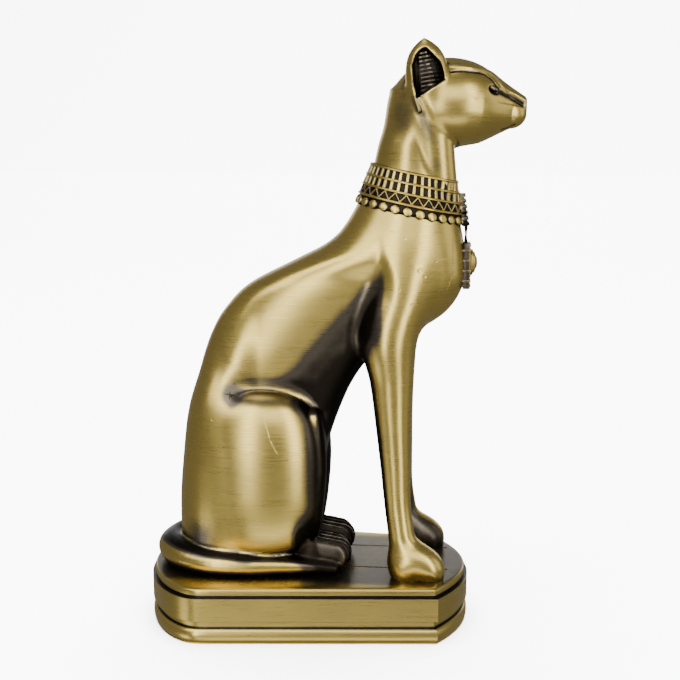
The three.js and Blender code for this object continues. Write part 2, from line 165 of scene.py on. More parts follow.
# %% [markdown]
# ## Trunk and flank
# The long back is what makes the figure, and an egg or two wouldn't follow it. So the trunk and
# neck are given at a few heights: where the back lies, where the chest or belly lies, and the
# half width. A smooth curve through those heights gives the rest.

# %% The trunk
TRUNK = np.array([
    # height, back, front, half width
    (-4, -25.4, 0.0, 9.6), (8, -25.6, 0.4, 9.4), (16, -25.1, 1.9, 9.4), (24, -23.9, 3.3, 9.4),
    (32, -22.8, 6.0, 9.0), (38, -21.4, 9.0, 8.6), (42, -20.5, 12.6, 8.4), (46, -19.0, 19.6, 8.4),
    (50, -16.7, 25.6, 8.6), (55, -11.8, 28.7, 8.9), (60, -2.3, 29.0, 8.7),
    (62.5, 2.5, 28.8, 8.5), (65, 5.5, 28.4, 8.2),
    (70, 8.7, 27.4, 7.4), (76, 11.4, 25.9, 6.1), (82, 12.9, 24.9, 6.0), (90, 15.8, 25.5, 5.6),
])
HEIGHTS = np.linspace(-4, 90, 471)


def smooth_column(column):
    """The column's values at HEIGHTS, from a curve that passes smoothly through the stations."""
    z, value = TRUNK[:, 0], TRUNK[:, column]
    i = np.clip(np.searchsorted(z, HEIGHTS, "right") - 1, 0, len(z) - 2)
    before, after = np.maximum(i - 1, 0), np.minimum(i + 2, len(z) - 1)
    span = z[i + 1] - z[i]
    t = (HEIGHTS - z[i]) / span
    leaving = (value[i + 1] - value[before]) / (z[i + 1] - z[before]) * span
    arriving = (value[after] - value[i]) / (z[after] - z[i]) * span
    return smooth_between(value[i], value[i + 1], leaving, arriving, t)


BACK, FRONT, HALF = (smooth_column(column) for column in (1, 2, 3))


def trunk(x, side, z):
    back, front, half = (np.interp(z, HEIGHTS, column) for column in (BACK, FRONT, HALF))
    reach = (front - back) / 2
    fullness = 2.3 - 0.3 * ease(58, 67, z)
    across = np.abs(x - back - reach) / reach
    size = (across**fullness + (side / half) ** fullness) ** (1 / fullness)
    return np.maximum((size - 1) * np.minimum(reach, half), z - HEIGHTS[-1])


print("at its widest the trunk is", round(float(2 * HALF.max()), 1), "shares wide")

# %% [markdown]
# Behind the shoulder the side of the cat isn't round but falls away in one flat slope. It could be
# pressed in with a lattice. A plane that fades out at the haunch, the rump and the shoulder does
# the same with four soft steps.

# %% The flank
def flank(x, side, z):
    """Behind the shoulder the side is cut back in one flat slope, down to the haunch."""
    fill = (6 * (1 - ease(20, 31, z)) + 3 * (1 - ease(-19, -9, x))
            + 6 * ease(13, 18, x) + 3 * ease(56, 63, z))
    return side - np.maximum(4.6, 0.159 * z - 0.11 * x) - fill


# %% [markdown]
# ## The whole cat
# Limbs are added in the order a sculptor might add clay: trunk, legs, haunches, paws, tail, head.
# Each joint is (forwards, sideways, up, radius). A mirror modifier could copy the near side, but
# the tail lies on that side alone. So `side`, the distance from the middle plane, takes the place
# of y in every limb that comes twice.

# %% Legs, paws and tail
FORELEG = smooth_row([(18.4, 1.8, 68, 4.5), (18.0, 3.4, 61, 5.1), (17.2, 4.7, 54, 5.3),
                      (15.2, 5.6, 46, 5.3), (15.7, 6.2, 38, 4.1), (16.1, 6.6, 30, 3.4),
                      (16.6, 7.0, 22, 2.9), (17.1, 7.5, 14, 2.5),
                      (17.9, 8.0, 8, 2.5), (18.8, 8.4, 1, 2.6)], parts=10)
FRONT_PAW = smooth_row([(18.6, 8.4, 2.8, 2.8), (20.8, 8.5, 3.6, 3.1), (23.1, 8.7, 2.3, 2.9),
                        (24.0, 8.7, 0.6, 2.1)])
SHIN = smooth_row([(1.0, 5.0, 30, 1.5), (1.6, 5.0, 20, 1.7), (0.4, 5.0, 8, 1.6)])
TAIL = smooth_row([(-20, 7.5, 3.2, 2.6), (-25, 5.4, 2.9, 2.8), (-27.3, 1.2, 2.8, 2.8),
                   (-27.3, -3.0, 2.7, 2.9), (-24.2, -7.2, 2.5, 2.8), (-19, -9.6, 2.2, 2.5),
                   (-12, -9.9, 1.9, 2.2), (-5, -9.1, 1.7, 1.8), (1, -8.4, 1.4, 1.4),
                   (5, -8.4, 1.1, 1.0)])
HIND_TOES = [(2.0, 4.8), (3.8, 5.4), (5.6, 5.4), (7.4, 4.8)]
print("a foreleg is a row of", len(FORELEG) - 1, "short limbs")


def thigh(x, side, z):
    return egg(x, side, z, (-9.8, 5.0, 18.5), (12.4, 6.8, 17.0), 3)


def hind_toe(x, side, z, toe):
    y, reach = toe
    return limb(x, side, z, (1.0, y, 3.4, 3.1), (reach, y, 3.0, 2.8), 0.34)


def body_form(x, y, z):
    side = np.abs(y)
    rear_melt = 0.9 + 3.4 * (1 - ease(-21, -10, x))
    form = carve(trunk(x, side, z), -flank(x, side, z), 4.5)
    form = melt(form, chain(x, side, z, FORELEG, 0.94), 2.2)
    form = melt(form, chain(x, side, z, SHIN), 0.8)
    form = melt(form, thigh(x, side, z), rear_melt)
    form = melt(form, chain(x, side, z, FRONT_PAW), 2.6)
    for toe in HIND_TOES:
        form = melt(form, hind_toe(x, side, z, toe), 0.25)
    return melt(form, chain(x, y, z, TAIL), 0.9)


# %% [markdown]
# The skull is an egg on the neck, with a tapering muzzle and a straight ridge along the nose. All
# three are plain shapes, because a smooth polished head shows every bump in its highlights.

# %% Skull
SKULL = ((25.4, 0, 88.6), (10.5, 7.8, 8.1))


def skull_form(x, y, z):
    side = np.abs(y)
    form = melt(trunk(x, side, z), egg(x, side, z, *SKULL), 3.0)
    form = melt(form, limb(x, side, z, (31.5, 0, 87.2, 4.9), (36.9, 0, 86.8, 2.8), 0.95), 2.5)
    return melt(form, limb(x, side, z, (32.4, 0, 91.7, 2.3), (38.2, 0, 88.5, 1.7), 0.85), 0.8)


# %% [markdown]
# ## The face
# Brow, nose, mouth and cheek are drawn on the real cat as fine ridges and grooves. They could be a
# bump texture, but then the outline would miss them. Here they are rows of thin limbs that follow
# the skin: `side_of` finds how far out the skin lies at a place seen from the side, so a line
# drawn in the side view can be laid on the cheek.

# %% Lines that lie on the skin
def side_of(form, x, z, widest=12.0):
    """How far from the middle plane the skin lies at (x, z), found by halving."""
    low, high = 0.0, widest
    if form(np.array(x), np.array(0.0), np.array(z)) > 0:
        return 0.0
    for _ in range(30):
        middle = (low + high) / 2
        if form(np.array(x), np.array(middle), np.array(z)) < 0:
            low = middle
        else:
            high = middle
    return low


def line_on(form, places, radius, lift=0.0):
    """Joints of a line that runs on the skin through the places (x, z)."""
    return [(x, side_of(form, x, z) + lift, z, radius) for x, z in places]


print("at the cheek the skin lies", round(side_of(skull_form, 26.0, 88.0), 2), "shares out")

# %% [markdown]
# Each line is given by its places (forwards, up) in the side view and by its radius.

# %% The lines of the face
BROW_RIDGE = line_on(skull_form, [(25.6, 94.9), (27.2, 94.8), (29.2, 94.6), (31.4, 94.3),
                                  (33.2, 93.4), (34.5, 92.0), (35.0, 91.3)], 0.32)
BROW_GROOVE = line_on(skull_form, [(25.6, 93.9), (27.2, 94.1), (29.2, 93.95), (31.6, 93.6),
                                   (33.2, 92.5), (34.3, 91.1), (34.7, 90.3)], 0.20)
NOSE_GROOVE = line_on(skull_form, [(34.9, 90.4), (36.4, 89.7), (37.8, 88.9), (38.7, 88.4)], 0.42)
NOSE_LINE = line_on(skull_form, [(35.0, 91.2), (36.4, 90.5), (37.8, 89.8), (39.3, 88.9)], 0.22)
MUZZLE_LINE = line_on(skull_form, [(34.3, 88.8), (35.7, 88.6), (37.4, 88.3), (39.0, 88.0)], 0.10)
MOUTH = line_on(skull_form, [(35.1, 83.8), (36.2, 84.1), (37.5, 84.7)], 0.14)
CHEEK = line_on(skull_form, [(20.2, 89.4), (20.8, 87.4), (21.6, 85.6), (22.5, 83.6), (23.6, 81.8),
                             (24.9, 80.4)], 0.65, 0.15)
EAR_EDGE = line_on(skull_form, [(18.6, 94.0), (18.8, 92.4), (19.2, 90.6), (19.7, 88.8),
                                (20.3, 87.2)], 0.42, 0.1)
print("the brow's ridge begins", round(BROW_RIDGE[0][1], 2), "shares out")

# %% [markdown]
# Each ear is a pointed horn that leans out and back a little and is hollow, with its opening to
# the side. It could be a solid with a boolean cut. As a form it is carved like everything else,
# and its thin rim stays even.

# %% Ears
EAR_FOOT = (22.1, 4.4, 87.2)
EAR_HEIGHT = 100 - EAR_FOOT[2]
EAR_HALF_LENGTH, EAR_HALF_WIDTH, EAR_TAPER = 3.9, 2.8, 6
EAR_RIM, EAR_ROOM_OUT = 0.8, 1.9
EAR_LEAN = (0.16, 0.095)
EAR_OPENING = np.array([(-0.3, 11.9), (-1.6, 10.4), (-2.5, 8.4), (-2.5, 5.5), (-2.1, 2.8),
                        (3.7, 5.8), (3.4, 7.1), (2.2, 9.0)])


def ear_space(x, side, z):
    """Coordinates in the leaning ear's own frame, from its foot."""
    out, back = EAR_LEAN
    dx, dy, dz = x - EAR_FOOT[0], side - EAR_FOOT[1], z - EAR_FOOT[2]
    along = dx * math.cos(back) + dz * math.sin(back)
    up = dz * math.cos(back) - dx * math.sin(back)
    return along, dy * math.cos(out) - up * math.sin(out), up * math.cos(out) + dy * math.sin(out)


def horn(u, v, w, half_length, half_width, height):
    """A pointed horn: an oval at its foot that closes at its tip."""
    level = np.clip(w / height, 0, 1)
    around = np.hypot(u / half_length, v / half_width) - (1 - level**EAR_TAPER)
    slant = np.sqrt(1 + (half_width * EAR_TAPER * level ** (EAR_TAPER - 1) / height) ** 2)
    return np.maximum(around * min(half_length, half_width) / slant, w - height)


def ear_opening(u, w):
    """The distance to the outline of the ear's opening, seen from the side."""
    ends = np.roll(EAR_OPENING, -1, 0)
    along = (ends - EAR_OPENING) / np.linalg.norm(ends - EAR_OPENING, axis=1)[:, None]
    return np.maximum.reduce([(u - a) * dw - (w - b) * du
                              for (a, b), (du, dw) in zip(EAR_OPENING, along)])


def ear_room(u, v, w):
    room = horn(u, v - EAR_ROOM_OUT, w + EAR_RIM / 2, EAR_HALF_LENGTH - EAR_RIM,
                EAR_HALF_WIDTH, EAR_HEIGHT - EAR_RIM)
    return np.maximum(room, ear_opening(u, w))


print("an ear is", round(EAR_HEIGHT, 1), "shares high")

# %% [markdown]
# The eye is a small almond in a shallow hollow. With it the head is complete. The order matters:
# a groove carved after a ridge cuts into it, so the ear and the eye come last and stay whole.

# %% Eye and head
EYE = (33.5, 3.9, 90.9)
EYE_SOCKET = ((33.6, 4.5, 90.8), (1.3, 0.9, 0.75))


def eye_form(x, side, z):
    turn, tip = 0.55, 0.35
    dx, dy, dz = x - EYE[0], side - EYE[1], z - EYE[2]
    u = dx * math.cos(turn) - dy * math.sin(turn)
    v = dx * math.sin(turn) + dy * math.cos(turn)
    along = u * math.cos(tip) - dz * math.sin(tip)
    up = u * math.sin(tip) + dz * math.cos(tip)
    return egg(along, v, up, (0, 0, 0), (1.0, 0.5, 0.5))


def head_form(x, y, z):
    side = np.abs(y)
    form = skull_form(x, y, z)
    form = melt(form, chain(x, side, z, BROW_RIDGE), 0.5)
    for groove, width in ((BROW_GROOVE, 0.3), (NOSE_GROOVE, 0.4), (MUZZLE_LINE, 0.3),
                          (MOUTH, 0.3)):
        form = carve(form, chain(x, side, z, groove), width)
    form = melt(form, chain(x, side, z, NOSE_LINE), 0.2)
    form = carve(form, chain(x, side, z, CHEEK), 1.3)
    form = carve(form, egg(x, side, z, *EYE_SOCKET), 0.4)
    form = melt(form, chain(x, side, z, EAR_EDGE), 0.5)
    u, v, w = ear_space(x, side, z)
    form = melt(form, horn(u, v, w, EAR_HALF_LENGTH, EAR_HALF_WIDTH, EAR_HEIGHT), 0.5)
    form = carve(form, ear_room(u, v, w), 0.25)
    return melt(form, eye_form(x, side, z), 0.12)


# %% [markdown]
# ## From form to mesh
# Blender needs points and faces. A remesh modifier works on meshes, not on functions, so the skin
# is drawn here. First a helper: a few steps down the slope of the form settle any point exactly on
# its surface.

# %% Settle points on the surface
def slope_of(form, points, probe=0.02):
    """The form's value at the points, and its slope there."""
    x, y, z = points.T
    value = form(x, y, z)
    slope = np.stack([form(x + probe, y, z), form(x, y + probe, z), form(x, y, z + probe)], 1)
    return value, (slope - value[:, None]) / probe


def settle(form, points, steps=3, longest=0.3):
    for _ in range(steps):
        value, slope = slope_of(form, points)
        steep = np.maximum(np.linalg.norm(slope, axis=1), 0.1)
        move = np.clip(value / steep, -longest, longest) / steep
        points = points - slope * move[:, None]
    return points


# %% [markdown]
# A grid reads the form at its nodes. Each cell that the surface passes through gets one point, and
# each grid edge that pierces the surface gets one square of four such points. Squares of even size
# shade more smoothly than triangles of all shapes.

# %% Skin a form
def skin(form, bounds, step):
    """Points and squares of the form's surface on a grid with that step."""
    axes = [np.arange(low, high + step, step) for low, high in bounds]
    values = np.stack([form(*np.meshgrid([x], axes[1], axes[2], indexing="ij"))[0]
                       for x in axes[0]])
    inside = values < 0
    corners = sum(inside[i:i - 1 or None, j:j - 1 or None, k:k - 1 or None].astype(int)
                  for i in (0, 1) for j in (0, 1) for k in (0, 1))
    cells = np.argwhere((corners > 0) & (corners < 8))
    number = np.full(corners.shape, -1)
    number[tuple(cells.T)] = np.arange(len(cells))
    total, hits = np.zeros((len(cells), 3)), np.zeros(len(cells))
    for axis in range(3):
        for du in (0, 1):
            for dv in (0, 1):
                start = cells.copy()
                start[:, (axis + 1) % 3] += du
                start[:, (axis + 2) % 3] += dv
                end = start.copy()
                end[:, axis] += 1
                a, b = values[tuple(start.T)], values[tuple(end.T)]
                crossed = (a < 0) != (b < 0)
                place = start.astype(float)
                place[:, axis] += np.where(crossed, a / np.where(crossed, a - b, 1), 0)
                total += place * crossed[:, None]
                hits += crossed
    points = total / hits[:, None] * step + np.array([low for low, _ in bounds])
    squares = []
    for axis in range(3):
        ahead, across, up = np.eye(3, dtype=int)[[axis, (axis + 1) % 3, (axis + 2) % 3]]
        low_end = np.moveaxis(inside, axis, 0)[:-1]
        high_end = np.moveaxis(inside, axis, 0)[1:]
        nodes = np.argwhere(np.moveaxis(low_end != high_end, 0, axis))
        starts_inside = inside[tuple(nodes.T)]
        loop = np.stack([number[tuple((nodes - back).T)]
                         for back in (across + up, up, 0 * up, across)], 1)
        loop[~starts_inside] = loop[~starts_inside][:, ::-1]
        squares.append(loop)
    return settle(form, points), np.concatenate(squares)


# %% [markdown]
# Stain gathers in hollows. An ambient occlusion node could find them, but its look depends on the
# renderer. The form itself tells more plainly: a little way out from a hollow, other skin is
# closer than it would be over open skin.

# %% Find the hollows
def hollowness(form, points):
    """How sunken each point lies: 0 on open skin, towards 1 deep in a crease."""
    _, slope = slope_of(form, points)
    steep = np.maximum(np.linalg.norm(slope, axis=1), 0.1)
    outward = slope / steep[:, None]
    sunk = np.zeros(len(points))
    for distance, weight in ((0.5, 0.35), (1.2, 0.35), (2.6, 0.3)):
        beyond = form(*(points + outward * distance).T)
        sunk += weight * np.clip(1 - beyond / (distance * steep), 0, 1)
    return sunk, outward


# %% [markdown]
# The last helpers make Blender objects, store one number per point for the material to read, and
# hang a finished piece on the frame in place of a piece of the CAD model.

# %% Make, paint and dress a piece
def make_mesh(name, points, faces, smooth=True):
    mesh = bpy.data.meshes.new(name)
    mesh.from_pydata([tuple(p) for p in points], [], [tuple(f) for f in faces])
    mesh.validate()
    mesh.polygons.foreach_set("use_smooth", [smooth] * len(mesh.polygons))
    mesh.update()
    piece = bpy.data.objects.new(name, mesh)
    bpy.context.scene.collection.objects.link(piece)
    return piece


def piece_from(bm, name):
    """An object of that name from what bmesh has built."""
    mesh = bpy.data.meshes.new(name)
    bm.to_mesh(mesh)
    bm.free()
    piece = bpy.data.objects.new(name, mesh)
    bpy.context.scene.collection.objects.link(piece)
    return piece


def paint(piece, name, values):
    """Stores one number per vertex, which the material reads by its name."""
    attribute = piece.data.attributes.new(name, "FLOAT", "POINT")
    attribute.data.foreach_set("value", np.asarray(values, np.float32))


def dress(piece, node, material):
    """Hangs a finished piece on the frame and gives it its metal."""
    piece.data.materials.clear()
    piece.data.materials.append(material)
    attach(piece, "root")
    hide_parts(node)
    print(piece.name, "has", sum(len(f.vertices) - 2 for f in piece.data.polygons), "triangles")


# %% [markdown]
# ## The metal
# The real surface is knocked about a little: casting pits on the chest, a star-shaped mark over
# the haunch, scratches down its side and the mould's seam. An image could hold them, but the skin
# would have to be unwrapped for it. Instead each mark is a small oval in space on the near side:
# forwards, sideways and up in shares, length and width in millimetres, and its tilt in degrees.

# %% Pits, scratches and the seam
MARKS = [
    (20.8, 8.5, 58.7, 1.5, 1.3, 0), (21.6, 8.2, 57.6, 0.9, 0.8, 30), (19.4, 9.3, 52.6, 0.8, 0.7, 0),
    (18.0, 8.5, 64.5, 0.7, 0.7, 0), (23.6, 7.0, 60.2, 0.8, 0.6, 20), (17.1, 9.7, 55.3, 0.6, 0.6, 0),
    (15.6, 8.1, 65.7, 0.6, 0.5, 0), (30.2, 6.9, 89.3, 1.6, 0.35, 20),
    (30.3, 6.9, 89.2, 1.2, 0.3, 110), (26.1, 7.3, 85.9, 0.7, 0.4, 60),
    (22.7, 6.3, 51.2, 0.7, 0.5, 0), (-15.1, 6.0, 44.9, 0.7, 0.5, 0),
    (-14.5, 8.2, 34.9, 3.4, 0.35, 8), (-14.5, 8.2, 34.9, 2.6, 0.35, 95),
    (-14.4, 8.2, 34.8, 2.4, 0.3, 50), (-17.7, 9.5, 30.3, 0.6, 0.5, 0),
    (-20.7, 8.0, 45.6, 0.7, 0.5, 0), (-7.2, 10.9, 29.2, 5.6, 0.3, 73),
    (-5.9, 11.2, 25.8, 4.4, 0.3, 62), (-8.7, 11.6, 24.6, 3.8, 0.25, 4),
    (7.2, 8.5, 49.9, 0.6, 0.5, 0), (-1.5, 4.6, 59.6, 0.7, 0.5, 0),
    (26.7, 4.8, 61.8, 11.0, 0.3, 90), (26.2, 5.2, 56.4, 5.5, 0.3, 108),
]
MARK_DEPTH_MM = 1.5
print(len(MARKS), "marks on the metal")

# %% [markdown]
# Antique brass is a bright plate with brown-black stain left in its hollows. It could be two
# materials mixed by a mask. One node group does it with a single metal: it turns the painted
# value of stain, which also holds painted shade and a painted highlight, and a few noises into a
# colour, a roughness and a height for the brush lines, the pits and the marks.

# %% The node group
BRIGHT_PLATE, DULL_PLATE = (0.66, 0.49, 0.125, 1), (0.50, 0.37, 0.115, 1)
# Both stain colours also draw the painted shade that is stored together with the stain.
THIN_STAIN_AND_SHADE, THICK_STAIN_AND_SHADE = (0.125, 0.105, 0.078, 1), (0.018, 0.014, 0.010, 1)


def brass_group():
    group = bpy.data.node_groups.new("antique brass", "ShaderNodeTree")
    for name, kind, direction in (
            ("Stain and shade", "Float", "INPUT"), ("Brush", "Float", "INPUT"), ("Color", "Color", "OUTPUT"),
            ("Roughness", "Float", "OUTPUT"), ("Height", "Float", "OUTPUT")):
        group.interface.new_socket(name=name, in_out=direction, socket_type="NodeSocket" + kind)
    nodes, links = group.nodes, group.links

    def add(kind, **values):
        node = nodes.new(kind)
        for key, value in values.items():
            setattr(node, key, value)
        return node

    def noise(scale, detail, stretch=(1, 1, 1)):
        mapping = add("ShaderNodeMapping")
        mapping.inputs["Scale"].default_value = stretch
        links.new(coordinates.outputs["Object"], mapping.inputs["Vector"])
        texture = add("ShaderNodeTexNoise")
        texture.inputs["Scale"].default_value = scale
        texture.inputs["Detail"].default_value = detail
        links.new(mapping.outputs["Vector"], texture.inputs["Vector"])
        return texture.outputs["Fac"]

    def ramp(value, low, high, to_low=0.0, to_high=1.0):
        node = add("ShaderNodeMapRange", interpolation_type="SMOOTHSTEP")
        for key, number in (("From Min", low), ("From Max", high), ("To Min", to_low),
                            ("To Max", to_high)):
            node.inputs[key].default_value = number
        links.new(value, node.inputs["Value"])
        return node.outputs["Result"]

    def maths(operation, first, second):
        node = add("ShaderNodeMath", operation=operation)
        for plug, value in zip(node.inputs, (first, second)):
            if isinstance(value, (int, float)):
                plug.default_value = value
            else:
                links.new(value, plug)
        return node.outputs["Value"]

    def blend(factor, first, second):
        node = add("ShaderNodeMix", data_type="RGBA")
        links.new(factor, node.inputs["Factor"])
        for plug, value in ((node.inputs[6], first), (node.inputs[7], second)):
            if isinstance(value, tuple):
                plug.default_value = value
            else:
                links.new(value, plug)
        return node.outputs[2]

    coordinates = add("ShaderNodeTexCoord")
    inputs = add("NodeGroupInput")
    cloud = noise(45, 4)
    speckle = noise(420, 3)
    brush_lines = noise(420, 2, (0.2, 0.2, 9.0))
    pits = ramp(noise(170, 2), 0.72, 0.80)

    marks = 0.0
    for x, y, z, length, width, tip in MARKS:
        place = add("ShaderNodeMapping", vector_type="TEXTURE")
        place.inputs["Location"].default_value = to_metres([(x, -y, z)])[0]
        place.inputs["Rotation"].default_value = (0, math.radians(tip), 0)
        place.inputs["Scale"].default_value = (length * MM / 2, MARK_DEPTH_MM * MM, width * MM / 2)
        links.new(coordinates.outputs["Object"], place.inputs["Vector"])
        away = add("ShaderNodeVectorMath", operation="LENGTH")
        links.new(place.outputs["Vector"], away.inputs[0])
        marks = maths("MAXIMUM", ramp(away.outputs["Value"], 0.5, 1.1, 1.0, 0.0), marks)

    uneven = maths("ADD", inputs.outputs["Stain and shade"],
                   maths("MULTIPLY", maths("SUBTRACT", cloud, 0.5), 0.22))
    uneven = maths("ADD", uneven, maths("MULTIPLY", maths("SUBTRACT", speckle, 0.5), 0.12))
    uneven = maths("ADD", uneven, maths("MULTIPLY", marks, 0.22))
    tarnish = ramp(cloud, 0.35, 0.75, 0.0, 0.5)
    plate = blend(tarnish, BRIGHT_PLATE, DULL_PLATE)
    # The stored value of stain and painted shade turns the plate into the two stain colours.
    stained_and_shaded = blend(ramp(uneven, 0.12, 0.50), plate, THIN_STAIN_AND_SHADE)
    dark = ramp(uneven, 0.55, 0.95)
    colour = blend(dark, stained_and_shaded, THICK_STAIN_AND_SHADE)
    rough = maths("ADD", ramp(brush_lines, 0.3, 0.7, 0.27, 0.32), maths("MULTIPLY", dark, 0.08))
    lines = maths("MULTIPLY", maths("MULTIPLY", brush_lines, inputs.outputs["Brush"]), 0.10)
    height = maths("SUBTRACT", lines, maths("MULTIPLY", pits, 0.8))
    height = maths("SUBTRACT", height, maths("MULTIPLY", marks, 9.0))
    height = maths("ADD", height, maths("MULTIPLY", speckle, 0.5))

    outputs = add("NodeGroupOutput")
    links.new(colour, outputs.inputs["Color"])
    links.new(rough, outputs.inputs["Roughness"])
    links.new(height, outputs.inputs["Height"])
    print("the brass group has", len(nodes), "nodes")
    return group


# %% [markdown]
# Two metals use the group: satin brass, which a wire brush has drawn over, and worked brass for
# small parts that the brush can't reach into.

# %% The two metals
def brass(name, group, brush):
    """A metal that reads the painted stain and painted shade, with that strength of brush lines."""
    material = bpy.data.materials.new(name)
    material.use_nodes = True
    nodes, links = material.node_tree.nodes, material.node_tree.links
    shader = nodes["Principled BSDF"]
    shader.inputs["Metallic"].default_value = 1.0
    attribute = nodes.new("ShaderNodeAttribute")
    attribute.attribute_name = "stain_and_shade"
    looks = nodes.new("ShaderNodeGroup")
    looks.node_tree = group
    looks.inputs["Brush"].default_value = brush
    bump = nodes.new("ShaderNodeBump")
    bump.inputs["Strength"].default_value = 0.2
    bump.inputs["Distance"].default_value = 0.00006
    links.new(attribute.outputs["Fac"], looks.inputs["Stain and shade"])
    links.new(looks.outputs["Color"], shader.inputs["Base Color"])
    links.new(looks.outputs["Roughness"], shader.inputs["Roughness"])
    links.new(looks.outputs["Height"], bump.inputs["Height"])
    links.new(bump.outputs["Normal"], shader.inputs["Normal"])
    return material


looks = brass_group()
satin = brass("satin brass", looks, 1.0)
worked = brass("worked brass", looks, 0.2)
print("metals:", satin.name, "and", worked.name)

# %% [markdown]
# ## The body
# Body and head are one casting. They are skinned apart, so that the head can have a finer grid,
# and they meet at a cut that the collar hides. The soles are cut flat just inside the plinth.

# %% Where the body ends
NECK_CUT = 72.5
SOLE = -0.3


def cut_body(x, y, z):
    return np.maximum(np.maximum(body_form(x, y, z), z - NECK_CUT), SOLE - z)


def band(low, high, value, soft):
    """1 while the value lies between low and high, with soft edges."""
    return ease(low - soft, low + soft, value) * (1 - ease(high - soft, high + soft, value))


print("the body ends at", NECK_CUT, "shares")

# %% [markdown]
# Stain stays where the form is sunken. The flank behind the foreleg, the belly, the insides and
# the lower backs of the legs, the hind paws, the top of the thigh and the top and front end of the
# tail are made darker too. Painted shade darkens the underside of the tail and the foot of the
# thigh where it meets the tail, and a painted highlight keeps the tops of the hind toes lighter.
# It could be painted by hand with a brush. Here each such place is a soft mask made of heights,
# of the way the skin faces and of its distance to a limb.

# %% Where the body is stained, and where shade is painted on it
FLANK_LINE = np.array([(12.8, 54.9), (-4.2, 34.8)])
FLANK_DOWN = (FLANK_LINE[1] - FLANK_LINE[0])[::-1] * (-1, 1)
FLANK_DOWN = FLANK_DOWN / np.linalg.norm(FLANK_DOWN)


def body_stain_and_shade(points):
    x, y, z = points.T
    side = np.abs(y)
    sunk, outward = hollowness(body_form, points)
    to_side = outward[:, 1] * np.sign(y)
    legs = melt(chain(x, side, z, FORELEG, 0.94), chain(x, side, z, FRONT_PAW), 2.6)
    on_leg = 1 - ease(0.1, 0.8, legs)
    below_line = ((x - FLANK_LINE[0][0]) * FLANK_DOWN[0]
                  + (z - FLANK_LINE[0][1]) * FLANK_DOWN[1])
    behind_leg = 1 - on_leg * (1 - ease(42, 48, z))
    off_thigh = ease(0.2, 1.2, thigh(x, side, z))
    flank_dark = ease(-5.0, 1.0, below_line) * behind_leg * ease(20, 27, z)
    flank_dark = flank_dark * off_thigh * (1 - ease(12.5, 15.5, x)) * 0.75
    belly = np.where(off_thigh > 0.5, ease(0.1, 0.6, outward[:, 0]), ease(0.35, 0.8, outward[:, 0]))
    belly = belly * band(8, 50, z, 3) * (1 - ease(8, 14, x)) * (1 - on_leg) * 0.9
    inner = ease(0.2, 0.7, -to_side) * ease(6, 9, x) * 0.8
    leg_back = on_leg * ease(0.45, 0.9, -outward[:, 0]) * ease(6, 14, z) * 0.6
    hind_paw = band(-2, 9.5, x, 1.2) * (1 - ease(7.5, 10, z)) * (1 - on_leg)
    hind_paw = hind_paw * ease(-10.5, -9, -side)
    # A painted highlight keeps the tops of the hind toes lighter than the rest of the paw.
    toes = hind_paw * (0.85 - 0.35 * ease(0.5, 0.9, outward[:, 2]))
    on_tail = (1 - ease(0.1, 0.6, chain(x, y, z, TAIL))) * (1 - on_leg)
    up = outward[:, 2]
    # Painted shade darkens the tail's underside; its top and its front end are made darker too.
    tail_dark = ease(0.5, 0.85, up) * 0.85 + ease(0.15, 0.6, -up) * 0.8 + ease(-3, 3, x) * 0.45
    tail_dark = on_tail * (tail_dark + 0.4 * band(-14, -10, x, 2.0) * ease(0.0, 0.5, up))
    on_thigh = 1 - ease(0.1, 0.8, thigh(x, side, z))
    over_tail = band(-24, 1, x, 2) * (1 - on_tail)
    # Painted shade darkens the foot of the thigh over the tail, and two patches low on the thigh at
    # its back and its front.
    shade_at_thigh_foot = (0.7 * (1 - ease(3.6, 5.8, z)) * over_tail
                     + 0.45 * (1 - ease(0.0, 6.0, np.hypot(x + 20.5, (z - 7) * 0.8)))
                     + 0.80 * (1 - ease(0.5, 3.6, np.hypot(x + 1.0, (z - 7) * 0.5))))
    top_of_thigh = 0.45 * ease(0.25, 0.6, up) * band(28, 38, z, 2) * on_thigh
    smear = 0.45 * (1 - ease(0.5, 3.4, np.hypot(x + 14.5, z - 35.2)))
    spots = toes + tail_dark * (1 - shade_at_thigh_foot) + shade_at_thigh_foot + top_of_thigh + smear
    return np.clip(sunk * 1.5 - 0.12 + flank_dark + belly + inner + leg_back + spots, 0, 1)


# %% [markdown]
# With form, metal, stain and painted shade in hand, the body itself takes only a few lines.

# %% Make the body
BODY_STEP, HEAD_STEP = 0.42, 0.22
points, squares = skin(cut_body, ((-34.5, 36), (-15.6, 15.6), (-0.8, 73)), BODY_STEP)
body = make_mesh("body", to_metres(points), squares)
paint(body, "stain_and_shade", body_stain_and_shade(points))
dress(body, "cat", satin)

# %% [markdown]
# ## The head
# The head is skinned on a grid of half that step, so the brow lines, the eye and the ear's thin
# rim come out crisp. The nose's tip is cut flat, because it would reach past the CAD model's box.
# The head's stain lies in the ears, in the lines and at the nape. Painted shade darkens the
# socket round the eye, the crease behind the cheek and the throat under the jaw.

# %% Make the head
NOSE_END = 39.65


def cut_head(x, y, z):
    return np.maximum(np.maximum(head_form(x, y, z), NECK_CUT - 0.4 - z), x - NOSE_END)


